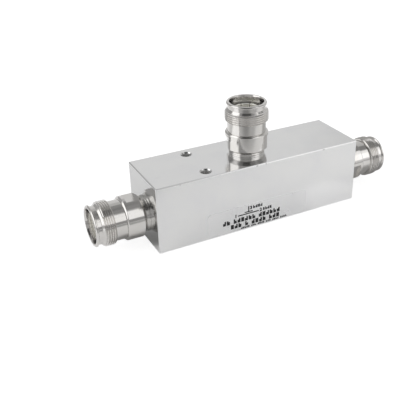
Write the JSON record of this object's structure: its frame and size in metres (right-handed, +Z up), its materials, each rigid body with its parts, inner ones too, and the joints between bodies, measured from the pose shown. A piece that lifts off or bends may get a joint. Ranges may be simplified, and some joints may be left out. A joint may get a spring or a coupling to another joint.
{
  "type": "rf power tapper",
  "caption": "Coaxial power tapper: square metal bar with a through line between threaded jacks on its ends and a tap jack on top, with mounting holes.",
  "frame": {"origin": "centre of the housing's bottom face", "axes": "+X from the input port to the output port, +Z up through the tap port; the rating label faces -Y"},
  "size_m": [0.1534, 0.0317, 0.0562],
  "materials": {
    "housing_metal": "bright machined and polished",
    "shell_plating": "turned brass with white bronze plating",
    "basket_plating": "silver plated spring bronze",
    "socket_plating": "silver plated spring bronze",
    "line_plating": "silver plated brass",
    "white_insulator": "white fluoropolymer",
    "seal_rubber": "black elastomer",
    "label_film": "satin silver film with black print"
  },
  "bodies": {
    "root": {"housing": "housing_metal", "input_connector_shell": "shell_plating", "input_contact_basket": "basket_plating", "input_insulator": "white_insulator", "input_centre_socket": "socket_plating", "input_neck_seal": "seal_rubber", "output_connector_shell": "shell_plating", "output_contact_basket": "basket_plating", "output_insulator": "white_insulator", "output_centre_socket": "socket_plating", "output_neck_seal": "seal_rubber", "tap_connector_shell": "shell_plating", "tap_contact_basket": "basket_plating", "tap_insulator": "white_insulator", "tap_centre_socket": "socket_plating", "tap_neck_seal": "seal_rubber", "main_line_conductor": "line_plating", "tap_line_conductor": "line_plating", "input_line_bead": "white_insulator", "output_line_bead": "white_insulator", "rating_label": "label_film"}
  },
  "joints": []
}
